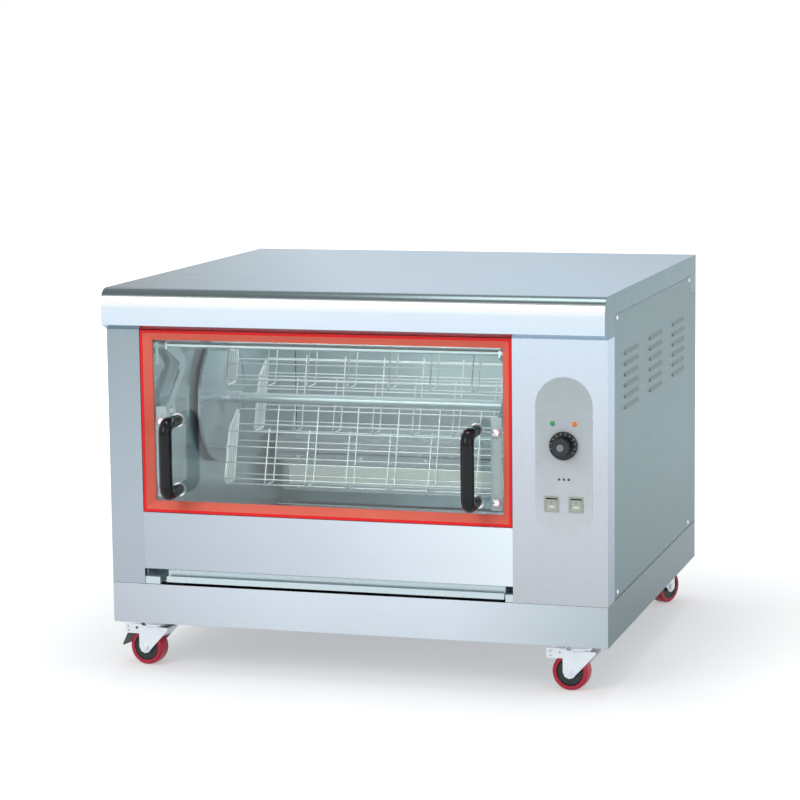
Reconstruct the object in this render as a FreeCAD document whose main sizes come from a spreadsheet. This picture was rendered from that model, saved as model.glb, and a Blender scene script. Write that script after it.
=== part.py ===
import FreeCAD, Part
import math
import os
from types import SimpleNamespace

import Sketcher

# Gas rotisserie oven on casters: folded steel cabinet, swan-neck glass door, drip tray,
# and a rotor that carries three hanging wire baskets.
# +X is the operator's right, +Y the back, +Z up. The origin is on the floor under the
# middle of the bounding box.

doc = FreeCAD.newDocument("RotisserieOven")

SIZES = {
    # cabinet
    "body_width": 1040, "body_depth": 940, "body_height": 692.5, "caster_height": 100,
    "sheet_gauge": 1.5, "seam_gap": 0.6,
    "plinth_height": 82, "tray_slot": 33, "sill_height": 117, "opening_height": 376,
    "post_width": 70.5, "panel_width": 191, "return_depth": 62, "jamb_depth": 40,
    "hood_reach": 28, "hood_radius": 30, "hood_lip": 11, "roof_flange": 42.5,
    "rear_strip": 60, "louver_reach": 3, "louver_length": 130, "louver_pitch": 21.8,
    # cavity
    "liner_side": 19.5, "liner_motor_side": 9, "liner_set_back": 23.5,
    "back_bay": 140, "ceiling_gap": 41, "tray_height": 24, "tray_travel": 450,
    # door
    "door_gap": 1.2, "frame_face": 21, "frame_lip": 5, "frame_depth": 22,
    "glass_inset": 15, "glass_gauge": 5, "hinge_depth": 60, "hinge_drop": 37,
    "hinge_tube_dia": 12, "journal_dia": 10, "arm_gauge": 4, "arm_gap": 16,
    "handle_dia": 27, "handle_pitch": 143, "handle_reach": 73.5, "handle_inset": 75,
    "handle_level": 119.5, "bolt_inset": 35.5, "fit_gap": 0.08,
    # rotor and baskets
    "shaft_depth": 388, "shaft_level": 418, "shaft_dia": 22, "disc_radius": 141,
    "disc_gauge": 3, "disc_gap": 10, "hub_length": 45, "hub_dia": 27,
    "pivot_radius": 122, "pivot_angle": 114, "pin_dia": 8, "basket_gap": 47,
    "basket_height": 157, "basket_floor": 59, "basket_drop": 72, "wire_dia": 3,
    # burner
    "burner_depth": 80, "burner_side": 40, "burner_bottom": 157, "burner_height": 87,
    "plaque_width": 130, "inlet_reach": 25,
    # controls
    "label_length": 320, "label_width": 114, "label_level": 374, "knob_dia": 56,
    "knob_level": 400, "knob_height": 30,
    # casters
    "wheel_dia": 75, "wheel_width": 32, "caster_edge": 27, "caster_trail": 17,
}

sheet = doc.addObject("Spreadsheet::Sheet", "Sizes")
for row, (alias, amount) in enumerate(SIZES.items(), start=1):
    sheet.set("A%d" % row, alias)
    sheet.set("B%d" % row, str(amount))
    sheet.setAlias("B%d" % row, alias)
doc.recompute()


class Dim:
    """A length in mm together with the spreadsheet formula that gives it."""

    def __init__(self, value, formula=None):
        self.value = float(value)
        self.formula = formula or "(%s)" % repr(round(float(value), 6))

    def join(self, other, sign, swapped=False):
        other = dim(other)
        first, second = (other, self) if swapped else (self, other)
        value = {
            "+": lambda: first.value + second.value,
            "-": lambda: first.value - second.value,
            "*": lambda: first.value * second.value,
            "/": lambda: first.value / second.value,
        }[sign]()
        return Dim(value, "(%s %s %s)" % (first.formula, sign, second.formula))

    def __add__(self, other):
        return self.join(other, "+")

    def __radd__(self, other):
        return self.join(other, "+", True)

    def __sub__(self, other):
        return self.join(other, "-")

    def __rsub__(self, other):
        return self.join(other, "-", True)

    def __mul__(self, other):
        return self.join(other, "*")

    def __rmul__(self, other):
        return self.join(other, "*", True)

    def __truediv__(self, other):
        return self.join(other, "/")

    def __neg__(self):
        return self.join(-1, "*")


def dim(thing):
    return thing if isinstance(thing, Dim) else Dim(thing)


s = SimpleNamespace(**{name: Dim(sheet.get(name), "Sizes." + name) for name in SIZES})
gauge = s.sheet_gauge

# cabinet measures: across from the left side, back from the front plane,
# up from the underside of the plinth
left = -(s.body_width + s.louver_reach * 2) / 2 + s.louver_reach
front = (s.handle_reach - s.body_depth - s.inlet_reach) / 2
base = s.caster_height

post_bottom = s.plinth_height
plate_bottom = s.plinth_height + s.tray_slot
opening_bottom = plate_bottom + s.sill_height
opening_top = opening_bottom + s.opening_height
opening_left = s.post_width
opening_right = s.body_width - s.panel_width
wall_left = opening_left + s.liner_side
wall_right = opening_right - s.liner_motor_side
cavity_back = s.body_depth - s.back_bay
cavity_top = s.body_height - s.ceiling_gap - gauge
cavity_bottom = plate_bottom - 1
shaft_x = (wall_left + wall_right) / 2
hinge_level = opening_top - s.hinge_drop

X_AXIS = FreeCAD.Vector(1, 0, 0)
Y_AXIS = FreeCAD.Vector(0, 1, 0)
Z_AXIS = FreeCAD.Vector(0, 0, 1)
UPRIGHT = FreeCAD.Rotation()
ALONG_X = FreeCAD.Rotation(Y_AXIS, 90)
ALONG_Y = FreeCAD.Rotation(X_AXIS, -90)
TO_FRONT = FreeCAD.Rotation(X_AXIS, 90)
# a profile drawn in (depth, height) and padded along X
SIDE_PROFILE = FreeCAD.Rotation(FreeCAD.Vector(1, 1, 1), 120)
# a profile drawn in (across, height) and padded towards the front
FACE_PROFILE = FreeCAD.Rotation(X_AXIS, 90)

nodes = []


def bind(obj, prop, amount):
    obj.setExpression(prop, dim(amount).formula)


def place(obj, x, y, z, turn=UPRIGHT):
    """Put an object at cabinet measures, bound to the sheet."""
    spot = [dim(left + x), dim(front + y), dim(base + z)]
    obj.Placement = FreeCAD.Placement(FreeCAD.Vector(*[d.value for d in spot]), turn)
    for axis, amount in zip("xyz", spot):
        bind(obj, "Placement.Base." + axis, amount)
    return obj


def box(x0, x1, y0, y1, z0, z1):
    block = doc.addObject("Part::Box", "Block")
    bind(block, "Length", dim(x1) - x0)
    bind(block, "Width", dim(y1) - y0)
    bind(block, "Height", dim(z1) - z0)
    return place(block, x0, y0, z0)


def rod(x, y, z, radius, length, turn=UPRIGHT):
    bar = doc.addObject("Part::Cylinder", "Rod")
    bind(bar, "Radius", radius)
    bind(bar, "Height", length)
    return place(bar, x, y, z, turn)


def taper(x, y, z, start, end, length, turn=UPRIGHT):
    cone = doc.addObject("Part::Cone", "Taper")
    bind(cone, "Radius1", start)
    bind(cone, "Radius2", end)
    bind(cone, "Height", length)
    return place(cone, x, y, z, turn)


def ball(x, y, z, radius):
    sphere = doc.addObject("Part::Sphere", "Ball")
    bind(sphere, "Radius", radius)
    return place(sphere, x, y, z)


def fuse(*parts):
    if len(parts) == 1:
        return parts[0]
    union = doc.addObject("Part::MultiFuse", "Union")
    union.Shapes = list(parts)
    return union


def cut(body, *tools):
    trimmed = doc.addObject("Part::Cut", "Trimmed")
    trimmed.Base = body
    trimmed.Tool = fuse(*tools)
    return trimmed


def common(first, second):
    overlap = doc.addObject("Part::MultiCommon", "Overlap")
    overlap.Shapes = [first, second]
    return overlap


def group(*parts):
    bundle = doc.addObject("Part::Compound", "Group")
    bundle.Links = list(parts)
    return bundle


def node(label, obj):
    obj.Label = label
    nodes.append(obj)
    return obj


def draw_outline(sketch, points):
    """Closed outline whose every corner is pinned to the sheet from the sketch's origin."""
    corners = [FreeCAD.Vector(dim(u).value, dim(v).value, 0) for u, v in points]
    count = len(points)
    for index, corner in enumerate(corners):
        sketch.addGeometry(Part.LineSegment(corner, corners[(index + 1) % count]), False)
    for index in range(count):
        sketch.addConstraint(
            Sketcher.Constraint("Coincident", index, 2, (index + 1) % count, 1))
    for index, pair in enumerate(points):
        for kind, axis, amount in zip(("DistanceX", "DistanceY"), (-2, -1), pair):
            amount = dim(amount)
            if abs(amount.value) < 1e-9:
                sketch.addConstraint(Sketcher.Constraint("PointOnObject", index, 1, axis))
                continue
            ends = (-1, 1, index, 1) if amount.value > 0 else (index, 1, -1, 1)
            number = sketch.addConstraint(
                Sketcher.Constraint(kind, *ends, abs(amount.value)))
            size = amount if amount.value > 0 else -amount
            sketch.setExpression("Constraints[%d]" % number, size.formula)


def origin_plane(body, role):
    return [item for item in body.Origin.OriginFeatures if item.Role == role][0]


def sketch_on(body, role, points):
    sketch = body.newObject("Sketcher::SketchObject", "Outline")
    sketch.AttachmentSupport = [(origin_plane(body, role), "")]
    sketch.MapMode = "FlatFace"
    draw_outline(sketch, points)
    return sketch


def padded(points, length, x, y, z, turn=UPRIGHT):
    """PartDesign body: an outline on its XY plane padded along its Z."""
    body = doc.addObject("PartDesign::Body", "Padded")
    pad = body.newObject("PartDesign::Pad", "Pad")
    pad.Profile = sketch_on(body, "XY_Plane", points)
    bind(pad, "Length", length)
    body.Tip = pad
    return place(body, x, y, z, turn)


def turned(points, x, y, z, turn=UPRIGHT):
    """PartDesign body: an outline of (radius, height) revolved about its Z."""
    body = doc.addObject("PartDesign::Body", "Turned")
    lathe = body.newObject("PartDesign::Revolution", "Lathe")
    sketch = sketch_on(body, "XZ_Plane", points)
    lathe.Profile = sketch
    lathe.ReferenceAxis = (sketch, ["V_Axis"])
    lathe.Angle = 360
    body.Tip = lathe
    return place(body, x, y, z, turn)


def rounded(body, middle, radius):
    """Fillet of the edge of the body's tip whose middle is nearest to a point."""
    doc.recompute()
    tip = body.Tip
    point = FreeCAD.Vector(*middle)
    gaps = [(edge.valueAt((edge.FirstParameter + edge.LastParameter) / 2) - point).Length
            for edge in tip.Shape.Edges]
    bend = body.newObject("PartDesign::Fillet", "Bend")
    bend.Base = (tip, ["Edge%d" % (gaps.index(min(gaps)) + 1)])
    bind(bend, "Radius", radius)
    body.Tip = bend
    return body


def bent_path(spots, bend, closed=False):
    """Straight runs joined by tangent arcs, through or round a list of corners."""
    count = len(spots)
    arcs = []
    for index in range(0 if closed else 1, count if closed else count - 1):
        before, corner, after = spots[index - 1], spots[index], spots[(index + 1) % count]
        back = (before - corner).normalize()
        ahead = (after - corner).normalize()
        half_angle = back.getAngle(ahead) / 2
        reach = bend / math.tan(half_angle)
        crown = (back + ahead).normalize() * (bend / math.sin(half_angle) - bend)
        arcs.append((corner + back * reach, corner + crown, corner + ahead * reach))
    edges = []
    start = arcs[-1][2] if closed else spots[0]
    for first, middle, last in arcs:
        edges.append(Part.LineSegment(start, first).toShape())
        edges.append(Part.Arc(first, middle, last).toShape())
        start = last
    if not closed:
        edges.append(Part.LineSegment(start, spots[-1]).toShape())
    return Part.Wire(edges)


def swept(path, radius):
    """Round bar along a path."""
    start = path.Edges[0]
    ring = Part.Circle(start.valueAt(start.FirstParameter),
                       start.tangentAt(start.FirstParameter), radius)
    return path.makePipeShell([Part.Wire([ring.toShape()])], True, True)


def tube(points, radius, bend):
    """Bent pipe through corners given in cabinet measures."""
    return swept(bent_path(
        [FreeCAD.Vector(dim(left + x).value, dim(front + y).value, dim(base + z).value)
         for x, y, z in points], bend), radius)


def feature(shape):
    piece = doc.addObject("Part::Feature", "Formed")
    piece.Shape = shape
    return piece


# ---------------------------------------------------------------- cabinet

def base_plinth():
    wide, deep = s.body_width, s.body_depth
    shell = box(0, wide, 0, deep, 0, s.plinth_height)
    room = box(gauge, wide - gauge, gauge, deep - gauge, gauge, s.plinth_height + 1)
    node("base_plinth", cut(shell, room))


def left_post():
    low, high = post_bottom + s.seam_gap, opening_top
    node("left_post", fuse(
        box(0, s.post_width, 0, gauge, low, high),
        box(0, gauge, 0, s.return_depth, low, high),
        box(s.post_width - gauge, s.post_width, 0, s.jamb_depth, low, high)))


panel_middle = s.body_width - s.panel_width / 2 + 8
lamp_offset = 22
lamp_level = s.label_level + 69
led_level = s.label_level - 41
switch_level = s.label_level - 90
switch_offset = 24.5
LAMPS = (("green", -lamp_offset), ("amber", lamp_offset))
LED_OFFSETS = (-9.5, 0, 9.5)
SWITCH_OFFSETS = {"left": -switch_offset, "right": switch_offset}
lamp_bore = 5.3
led_bore = 2.6
switch_hole = (25.6, 27.6)


def control_cutouts(depth_from, depth_to):
    """Holes through the panel and its label for everything that passes them."""
    reach = depth_to - depth_from
    holes = [rod(panel_middle, depth_from, s.knob_level, 6, reach, ALONG_Y)]
    for _, offset in LAMPS:
        holes.append(rod(panel_middle + offset, depth_from, lamp_level, lamp_bore,
                         reach, ALONG_Y))
    for offset in LED_OFFSETS:
        holes.append(rod(panel_middle + offset, depth_from, led_level, led_bore,
                         reach, ALONG_Y))
    for offset in SWITCH_OFFSETS.values():
        x = panel_middle + offset
        holes.append(box(x - switch_hole[0] / 2, x + switch_hole[0] / 2,
                         depth_from, depth_to,
                         switch_level - switch_hole[1] / 2,
                         switch_level + switch_hole[1] / 2))
    return holes


def control_panel():
    low, high = post_bottom + s.seam_gap, opening_top
    wide = s.body_width
    folded = fuse(
        box(opening_right, wide, 0, gauge, low, high),
        box(opening_right, opening_right + gauge, 0, s.jamb_depth, low, high),
        box(wide - gauge, wide, 0, s.return_depth, low, high))
    node("control_panel", cut(folded, *control_cutouts(-2, 4)))


def top_cover():
    wide, deep, high = s.body_width, s.body_depth, s.body_height
    flange_low = high - s.roof_flange
    hood_low = opening_top + s.hood_lip
    outer = padded([
        (-s.hood_reach, hood_low), (-s.hood_reach, high), (deep, high),
        (deep, opening_top), (deep - s.rear_strip, opening_top),
        (deep - s.rear_strip, flange_low), (s.return_depth, flange_low),
        (s.return_depth, opening_top), (0, opening_top)],
        wide, 0, 0, 0, SIDE_PROFILE)
    rounded(outer, (-s.hood_reach.value, high.value, wide.value / 2), s.hood_radius)
    room_low = opening_top - 5
    inner = padded([
        (gauge - s.hood_reach, hood_low + gauge), (gauge - s.hood_reach, high - gauge),
        (deep - gauge, high - gauge), (deep - gauge, room_low), (0, room_low),
        (0, opening_top + gauge)],
        wide - gauge * 2, gauge, 0, 0, SIDE_PROFILE)
    rounded(inner, ((gauge - s.hood_reach).value, (high - gauge).value, wide.value / 2),
            s.hood_radius - gauge)
    seams = [box(x0, x1, y, y + s.seam_gap, flange_low - 1, high - gauge)
             for x0, x1 in ((-1, gauge), (wide - gauge, wide + 1))
             for y in (s.return_depth, deep - s.rear_strip - s.seam_gap)]
    node("top_cover", cut(outer, inner, *seams))


louver_rise = 9.0
louver_open = 6.0
louver_columns = [0.122, 0.43, 0.738]


def side_panel(label, outside, sign):
    """Plain side sheet with three columns of six pressed louvers."""
    low = post_bottom + s.seam_gap
    high = s.body_height - s.roof_flange - s.seam_gap
    start = s.return_depth + s.seam_gap
    end = s.body_depth - s.rear_strip - s.seam_gap
    inside = outside - gauge * sign
    x0, x1 = (inside, outside) if sign > 0 else (outside, inside)
    blank = box(x0, x1, start, end, low, high)
    slots = []
    hoods = []
    run = end - start
    top_row = s.body_height - 132
    wall = 1.0
    reach = s.louver_reach * sign
    for share in louver_columns:
        y = start + run * share - 4
        for row in range(6):
            z = top_row - s.louver_pitch * row
            slots.append(box(x0 - 1, x1 + 1, y + 1, y + s.louver_length - 1,
                             z, z + louver_open))
            outer = padded([(0, 0), (reach, 0), (0, louver_rise)],
                           s.louver_length, outside, y + s.louver_length, z, FACE_PROFILE)
            inner = padded([(0, -1), (reach - wall * sign, -1),
                            (reach - wall * sign, 0), (0, louver_rise - wall * 3)],
                           s.louver_length - wall * 2,
                           outside, y + s.louver_length - wall, z, FACE_PROFILE)
            hoods.append(cut(outer, inner))
    node(label, fuse(cut(blank, *slots), *hoods))


def rear_posts():
    low, high = post_bottom + s.seam_gap, opening_top - s.seam_gap
    wide, deep = s.body_width, s.body_depth
    strips = []
    for x0, x1, x2, x3 in ((0, gauge, 0, s.rear_strip),
                           (wide - gauge, wide, wide - s.rear_strip, wide)):
        strips.append(fuse(
            box(x0, x1, deep - s.rear_strip, deep, low, high),
            box(x2, x3, deep - gauge, deep, low, high)))
    node("rear_posts", group(*strips))


gas_level = s.plinth_height + 60
gas_x = s.body_width - 90
gland_x = s.body_width - 150
hose_bore = 7.5
nipple_radius = 10.48
gland_bore = 8.0


def rear_panel():
    low, high = post_bottom + s.seam_gap, opening_top - s.seam_gap
    deep = s.body_depth
    x0, x1 = s.rear_strip + s.seam_gap, s.body_width - s.rear_strip - s.seam_gap
    blank = box(x0, x1, deep - gauge, deep, low, high)
    slots = [box(shaft_x - 240 + 82 * column, shaft_x - 240 + 82 * column + 64,
                 deep - gauge - 1, deep + 1, high - 50 - 16 * row, high - 44 - 16 * row)
             for column in range(6) for row in range(4)]
    bores = [rod(gas_x, deep - gauge - 1, gas_level, hose_bore, gauge + 2, ALONG_Y),
             rod(gland_x, deep - gauge - 1, gas_level, gland_bore, gauge + 2, ALONG_Y)]
    node("rear_panel", cut(blank, *slots, *bores))


def lower_front_plate():
    x0, x1 = opening_left, opening_right
    node("lower_front_plate", fuse(
        box(x0, x1, 0, gauge, plate_bottom, opening_bottom),
        box(x0, x1, 0, s.liner_set_back, opening_bottom - gauge, opening_bottom),
        box(x0, x1, 0, 12, plate_bottom, plate_bottom + gauge)))


swing_relief = 78
hinge_bore = s.journal_dia / 2 + s.fit_gap


def liner_side(label, wall, sign, jamb):
    """Polished side wall of the cavity; its top front corner is cut back for the door."""
    x0, x1 = (wall - gauge, wall) if sign < 0 else (wall, wall + gauge)
    start = s.liner_set_back
    blank = box(x0, x1, start, cavity_back, cavity_bottom, cavity_top)
    f0, f1 = (jamb, wall) if sign < 0 else (wall, jamb)
    flange = box(f0, f1, start, start + gauge, plate_bottom + 2, hinge_level + 7)
    relief = box(x0 - 1, x1 + 1, start - 1, swing_relief, hinge_level + 29, cavity_top + 1)
    corner = box(x0 - 1, x1 + 1, start - 1, s.hinge_depth - 20, hinge_level + 8,
                 cavity_top + 1)
    bore = rod(x0 - 1, s.shaft_depth, s.shaft_level, s.shaft_dia / 2 + 2, gauge + 2, ALONG_X)
    tools = [relief, corner, bore]
    if sign > 0:
        tools.append(rod(x0 - 1, cavity_back - 30, burner_middle, 7, gauge + 2, ALONG_X))
    node(label, fuse(cut(blank, *tools), flange))


def liner_back():
    x0, x1 = wall_left - gauge, wall_right + gauge
    node("liner_back", fuse(
        box(x0, x1, cavity_back, cavity_back + gauge, cavity_bottom, cavity_top + gauge),
        box(x0, x1, 2, cavity_back, cavity_top, cavity_top + gauge),
        box(x0, x1, 2, 2 + gauge, cavity_top, s.body_height - gauge)))


tray_left = wall_left + 28
tray_right = wall_right - 9
tray_floor = s.plinth_height + 6
tray_gauge = 1.2
tray_depth = cavity_back - 20
lip_height = 12


def tray_runners():
    top = tray_floor - 0.3
    pair = []
    for x0, x1, wall in ((opening_left, tray_left + 8, opening_left),
                         (tray_right - 8, opening_right, opening_right - gauge)):
        pair.append(fuse(
            box(x0, x1, 16, cavity_back - 5, top - gauge, top),
            box(wall, wall + gauge, 16, cavity_back - 5, top, cavity_bottom),
            box(x0, x1, 60, 90, s.plinth_height - 20, top),
            box(x0, x1, cavity_back - 90, cavity_back - 60, s.plinth_height - 20, top)))
    brackets = [box(opening_left, tray_left - 15, 2, 16, s.plinth_height + 0.5, top + 10),
                box(tray_right + 2, opening_right, 2, 16, s.plinth_height + 0.5, top + 10)]
    node("tray_runners", group(*[fuse(rail, tab) for rail, tab in zip(pair, brackets)]))


def drip_tray():
    x0, x1, z = tray_left, tray_right, tray_floor
    high = z + s.tray_height
    wall = tray_gauge
    node("drip_tray", fuse(
        box(x0, x1, 0, tray_depth, z, z + wall),
        box(x0, x1, 0, wall, z, z + lip_height),
        box(x0, x1, 12, 12 + wall, z, high),
        box(x0, x1, tray_depth - wall, tray_depth, z, high),
        box(x0, x0 + wall, 12, tray_depth, z, high),
        box(x1 - wall, x1, 12, tray_depth, z, high)))


# ---------------------------------------------------------------- door

door_left = opening_left + s.door_gap
door_right = opening_right - s.door_gap
door_bottom = opening_bottom + s.door_gap
door_top = opening_top - s.door_gap
glass_front = s.glass_inset
glass_back = glass_front + s.glass_gauge
door_front = 0.5
bolt_levels = (opening_bottom + 186, opening_bottom + 46)
bolt_columns = (door_left + s.bolt_inset, door_right - s.bolt_inset)
handle_columns = (opening_left + s.handle_inset, opening_right - s.handle_inset)
foot_levels = (opening_bottom + s.handle_level + s.handle_pitch / 2,
               opening_bottom + s.handle_level - s.handle_pitch / 2)
arm_columns = (wall_left + s.arm_gap,
               door_right - (wall_left + s.arm_gap - door_left) - s.arm_gauge)
ear_level = hinge_level - 138
ear_bolts = (s.hinge_depth - 20, s.hinge_depth + 16)
ear_bore = 5.5


glass_hold = 5


def door_frame():
    """Four mitred rails: a flat outer lip, then a face that slopes in to the glass."""
    wide, high = door_right - door_left, door_top - door_bottom
    face, lip = s.frame_face, s.frame_lip
    slope_end = s.glass_inset - door_front
    thick = s.frame_depth - door_front
    profile = [(0, 0), (lip, 0), (face, slope_end), (face, thick), (0, thick)]

    def corner(across, up, depth):
        return FreeCAD.Vector((left + door_left + across).value,
                              (front + door_front + depth).value,
                              (base + door_bottom + up).value)

    rails = []
    ends = ((0, 0), (1, 0), (1, 1), (0, 1), (0, 0))
    for start, end in zip(ends, ends[1:]):
        sections = []
        for right, upper in (start, end):
            ring = [corner(wide - inset if right else dim(inset),
                           high - inset if upper else dim(inset), depth)
                    for inset, depth in profile]
            sections.append(Part.makePolygon(ring + ring[:1]))
        rails.append(Part.makeLoft(sections, True, True))
    rebate = Part.makeBox((wide - glass_hold * 2).value, s.glass_gauge.value,
                          (high - glass_hold * 2).value,
                          corner(dim(glass_hold), dim(glass_hold), slope_end))
    node("door_frame", feature(rails[0].fuse(rails[1:]).removeSplitter().cut(rebate)))


def door_glass():
    hold = glass_hold + 0.3
    pane = box(door_left + hold, door_right - hold, glass_front, glass_back,
               door_bottom + hold, door_top - hold)
    holes = [rod(x, glass_front - 1, z, 4.2, s.glass_gauge + 2, ALONG_Y)
             for x in bolt_columns for z in bolt_levels]
    holes += [rod(x, glass_front - 1, z, 4.2, s.glass_gauge + 2, ALONG_Y)
              for x in handle_columns for z in foot_levels]
    node("door_glass", cut(pane, *holes))


LOWER_BEND = FreeCAD.Rotation(-Y_AXIS, -Z_AXIS, X_AXIS, "ZXY")
UPPER_BEND = FreeCAD.Rotation(Z_AXIS, -Y_AXIS, X_AXIS, "ZXY")
collar_gauge = 1.8


def quarter_bend(x, y, z, bend, radius, turn):
    elbow = doc.addObject("Part::Torus", "Elbow")
    bind(elbow, "Radius1", bend)
    bind(elbow, "Radius2", radius)
    elbow.Angle3 = 90
    return place(elbow, x, y, z, turn)


def door_handles():
    """Two D handles: a straight grip, two quarter bends and tapering feet."""
    grip = s.handle_dia / 2
    foot = grip - 2.2
    bend = 20.0
    grip_y = grip - s.handle_reach
    leg = glass_front - collar_gauge - (grip_y + bend)
    high, low = foot_levels
    pair = []
    for x in handle_columns:
        handle = fuse(
            rod(x, grip_y, low + bend, grip, high - low - bend * 2),
            quarter_bend(x, grip_y + bend, low + bend, bend, grip, LOWER_BEND),
            quarter_bend(x, grip_y + bend, high - bend, bend, grip, UPPER_BEND),
            taper(x, grip_y + bend, low, grip, foot, leg, ALONG_Y),
            taper(x, grip_y + bend, high, grip, foot, leg, ALONG_Y))
        sockets = [rod(x, glass_front - 14, z, 4.2, 20, ALONG_Y) for z in foot_levels]
        pair.append(cut(handle, *sockets))
    node("door_handles", group(*pair))


bracket_gauge = 3.0


def door_fasteners():
    """Bright collars under the handle feet, handle screws, dome bolts and ear bolts."""
    pieces = []
    for x in handle_columns:
        for z in foot_levels:
            ring = rod(x, glass_front - collar_gauge, z, 14, collar_gauge, ALONG_Y)
            pieces.append(cut(ring, rod(x, glass_front - 3, z, 4.2, 6, ALONG_Y)))
            pieces.append(fuse(rod(x, glass_front - 12, z, 4, s.glass_gauge + 12, ALONG_Y),
                               rod(x, glass_back, z, 8, 4, ALONG_Y)))
    for x in bolt_columns:
        for z in bolt_levels:
            dome = common(ball(x, glass_front + 3.5, z, 10),
                          box(x - 12, x + 12, glass_front - 7, glass_front, z - 12, z + 12))
            pieces.append(fuse(
                dome, rod(x, glass_front - 1, z, 4, s.glass_gauge + 6, ALONG_Y),
                rod(x, glass_back + bracket_gauge, z, 7, 4.5, ALONG_Y)))
    for x, side in zip(arm_columns, (1, -1)):
        ear = x - bracket_gauge if side > 0 else x
        for y in ear_bolts:
            pieces.append(fuse(
                rod(ear - 4, y, ear_level, 7, 4, ALONG_X),
                rod(ear - 1, y, ear_level, ear_bore - 0.1,
                    s.arm_gauge + bracket_gauge + 2, ALONG_X),
                rod(ear + s.arm_gauge + bracket_gauge, y, ear_level, 7, 4, ALONG_X)))
    node("door_fasteners", group(*pieces))


def door_brackets():
    """Angle straps bolted behind the glass; each carries the foot of a swan-neck arm."""
    low, high = bolt_levels[1] - 16, bolt_levels[0] + 30
    ear_low, ear_high = ear_level - 17, ear_level + 13
    pair = []
    for x, arm_x, side in zip(bolt_columns, arm_columns, (1, -1)):
        edge = arm_x - bracket_gauge if side > 0 else arm_x + s.arm_gauge
        strap = fuse(box(x - 11, x + 11, glass_back, glass_back + bracket_gauge, low, high),
                     box(edge, edge + bracket_gauge, glass_back, s.hinge_depth + 29,
                         ear_low, ear_high))
        holes = [rod(x, glass_back - 1, z, 4.1, bracket_gauge + 2, ALONG_Y) for z in bolt_levels]
        holes += [rod(edge - 1, y, ear_level, ear_bore, bracket_gauge + 2, ALONG_X)
                  for y in ear_bolts]
        nut_notch = box(edge - 1, edge + bracket_gauge + 1, glass_back + bracket_gauge,
                        glass_back + bracket_gauge + 6, ear_low - 1, bolt_levels[0] + 8)
        pair.append(cut(strap, nut_notch, *holes))
    node("door_brackets", group(*pair))


def hinge_arms():
    """Swan-neck plates welded to the cross tube, from the pivot back round to the ears."""
    y, z = s.hinge_depth, hinge_level
    outline = [
        (y - 9, z - 8), (y + 2, z - 14), (y + 60, z - 42), (y + 67, z - 49),
        (y + 66, z - 60), (y + 36, z - 84), (y + 4, z - 112), (y - 20, z - 126),
        (y - 32, z - 131), (y - 32, z - 149), (y + 28, z - 149), (y + 36, z - 112),
        (y + 84, z - 72),
        (y + 97, z - 54), (y + 97, z - 44), (y + 90, z - 34), (y + 60, z - 12),
        (y + 10, z + 8), (y - 6, z + 8)]
    pair = []
    for x in arm_columns:
        plate = padded(outline, s.arm_gauge, x, 0, 0, SIDE_PROFILE)
        holes = [rod(x - 1, bolt_y, ear_level, ear_bore, s.arm_gauge + 2, ALONG_X)
                 for bolt_y in ear_bolts]
        pair.append(cut(plate, rod(x - 1, y, z, s.journal_dia / 2, s.arm_gauge + 2, ALONG_X),
                        *holes))
    node("hinge_arms", group(*pair))


def hinge_tube():
    y, z = s.hinge_depth, hinge_level
    x0, x1 = arm_columns[0] + s.arm_gauge, arm_columns[1]
    journal = s.journal_dia / 2
    node("hinge_tube", fuse(
        rod(x0, y, z, s.hinge_tube_dia / 2, x1 - x0, ALONG_X),
        rod(wall_left + 1, y, z, journal, wall_right - wall_left - 2, ALONG_X)))


def hinge_bosses():
    """Flanged sleeves on the side walls that the cross tube's journals turn in."""
    y, z = s.hinge_depth, hinge_level
    bosses = []
    for start, end, flange in (
            (wall_left, arm_columns[0] - 0.5, wall_left),
            (arm_columns[1] + s.arm_gauge + 0.5, wall_right, wall_right - 3)):
        sleeve = fuse(rod(start, y, z, 9, end - start, ALONG_X),
                      box(flange, flange + 3, y - 12, y + 12, z - 40, z + 6))
        bosses.append(cut(sleeve, rod(start - 1, y, z, hinge_bore, end - start + 2, ALONG_X)))
    node("hinge_bosses", group(*bosses))


# ---------------------------------------------------------------- rotor

disc_left_x = wall_left + s.disc_gap
disc_right_x = wall_right - s.disc_gap
basket_left = disc_left_x + s.basket_gap + s.disc_gauge
basket_right = disc_right_x - s.basket_gap - s.disc_gauge
pin_length = s.basket_gap - 4


def pivot_offset(index):
    angle = math.radians(s.pivot_angle.value + 120 * index)
    return math.cos(angle), math.sin(angle)


def end_disc(label, x, turn_sign):
    """Dished disc with a turned-out rim, a stiffening bar and three basket pins."""
    turn = ALONG_X if turn_sign > 0 else FreeCAD.Rotation(Y_AXIS, -90)
    y, z = s.shaft_depth, s.shaft_level
    bore = s.shaft_dia / 2 + s.fit_gap
    rim = turned([(bore, 0), (s.disc_radius, 0), (s.disc_radius, 6),
                  (s.disc_radius - 2.5, 6), (s.disc_radius - 2.5, s.disc_gauge),
                  (bore, s.disc_gauge)], x, y, z, turn)
    face = s.disc_gauge * turn_sign
    bar_end = 7 * turn_sign
    b0, b1 = (x + face, x + bar_end) if turn_sign > 0 else (x + bar_end, x + face)
    hub_room = s.hub_dia / 2 + 0.5
    parts = [rim]
    for side in (-1, 1):
        near, far = hub_room * side, (s.disc_radius - 2) * side
        y0, y1 = (near, far) if side > 0 else (far, near)
        parts.append(box(b0, b1, y + y0, y + y1, z - 4, z + 4))
    for index in range(3):
        across, up = pivot_offset(index)
        parts.append(rod(x, y + s.pivot_radius * across, z + s.pivot_radius * up,
                         s.pin_dia / 2, pin_length + s.disc_gauge, turn))
        for spread in (34, -34):
            angle = math.radians(s.pivot_angle.value + 120 * index + spread)
            parts.append(taper(x + turn_sign, y + 118 * math.cos(angle),
                               z + 118 * math.sin(angle), 4.6, 2.4, 4.4, turn))
    node(label, fuse(*parts))


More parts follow.
